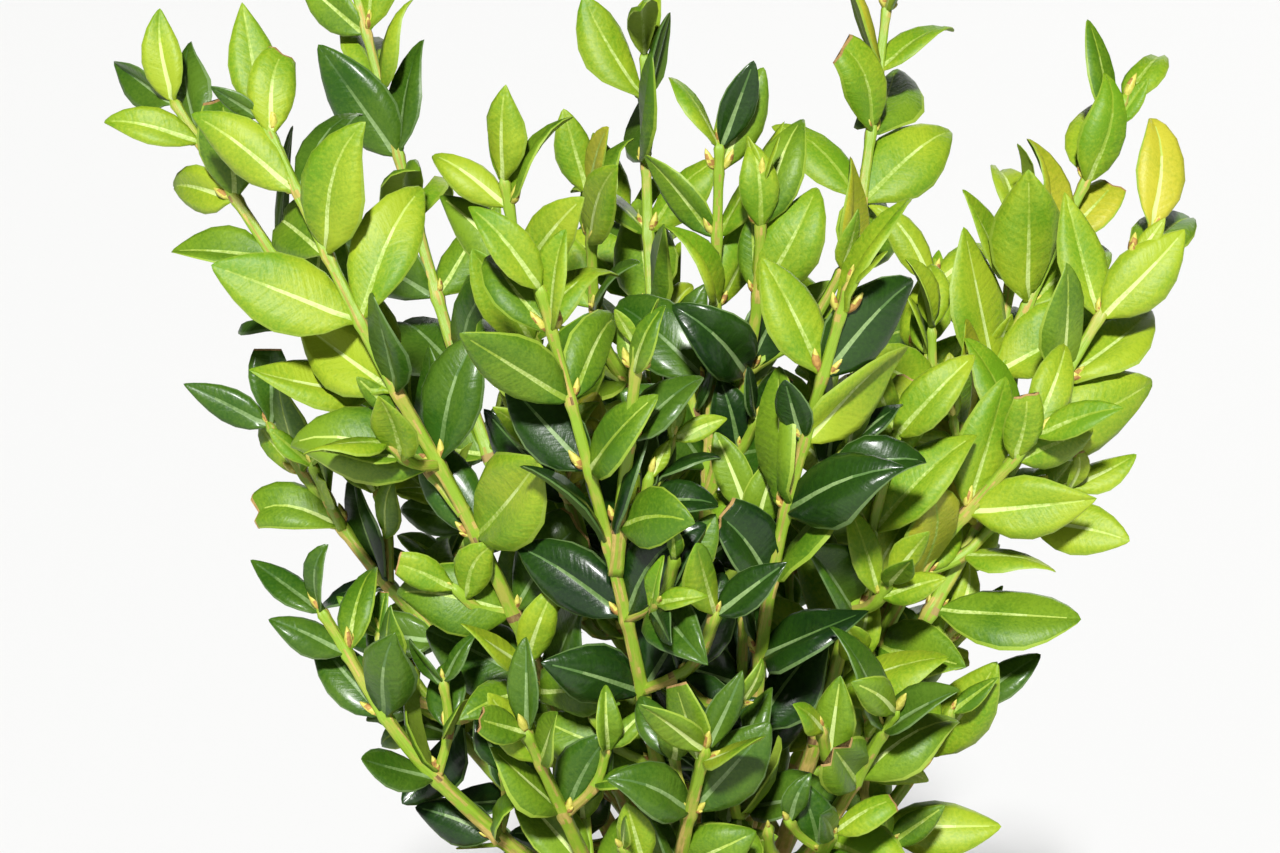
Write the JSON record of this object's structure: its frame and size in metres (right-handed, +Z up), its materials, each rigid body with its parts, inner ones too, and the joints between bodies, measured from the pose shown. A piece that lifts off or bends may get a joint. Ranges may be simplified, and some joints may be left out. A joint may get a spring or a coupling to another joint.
{
  "type": "potted box shrub",
  "caption": "Young, loose, unclipped box shrub with leafy upright shoots that fork from one short stem in a plain clay pot.",
  "frame": {"origin": "centre of the pot's flat underside", "axes": "+Z up, the shrub's height; -Y towards the fuller front, +X to the right seen from the front"},
  "size_m": [0.1973, 0.1641, 0.303],
  "materials": {
    "pot_clay": "unglazed fired clay, matt",
    "potting_soil": "moist potting soil, crumbly",
    "bark": "green-brown young bark with corky ribs",
    "leaves_fresh": "fresh yellow-green leaves with a waxy sheen",
    "leaves_mature": "mature dark green leaves, glossy",
    "leaves_golden": "leaves with a yellow tint, waxy sheen"
  },
  "bodies": {
    "root": {"back_centre_leaves": "leaves_fresh", "back_centre_limb": "bark", "back_left_leaves": "leaves_fresh", "back_left_limb": "bark", "back_right_leaves": "leaves_fresh", "back_right_limb": "bark", "centre_leaves": "leaves_mature", "centre_left_leaves": "leaves_golden", "centre_left_limb": "bark", "centre_limb": "bark", "centre_low_leaves": "leaves_mature", "centre_low_limb": "bark", "front_leaves": "leaves_mature", "front_left_low_leaves": "leaves_fresh", "front_left_low_limb": "bark", "front_limb": "bark", "front_low_leaves": "leaves_fresh", "front_low_limb": "bark", "front_right_leaves": "leaves_mature", "front_right_limb": "bark", "front_right_low_leaves": "leaves_fresh", "front_right_low_limb": "bark", "left_low_leaves": "leaves_fresh", "left_low_limb": "bark", "left_mid_leaves": "leaves_fresh", "left_mid_limb": "bark", "left_side_low_leaves": "leaves_fresh", "left_side_low_limb": "bark", "left_tall_leaves": "leaves_fresh", "left_tall_limb": "bark", "pot": "pot_clay", "rear_centre_leaves": "leaves_fresh", "rear_centre_limb": "bark", "rear_left_leaves": "leaves_fresh", "rear_left_limb": "bark", "rear_low_leaves": "leaves_mature", "rear_low_limb": "bark", "rear_right_leaves": "leaves_mature", "rear_right_limb": "bark", "right_back_leaves": "leaves_fresh", "right_back_limb": "bark", "right_inner_leaves": "leaves_fresh", "right_inner_limb": "bark", "right_low_leaves": "leaves_fresh", "right_low_limb": "bark", "right_mid_leaves": "leaves_fresh", "right_mid_limb": "bark", "right_outer_leaves": "leaves_fresh", "right_outer_limb": "bark", "right_tall_leaves": "leaves_fresh", "right_tall_limb": "bark", "soil": "potting_soil", "stem": "bark"}
  },
  "joints": []
}
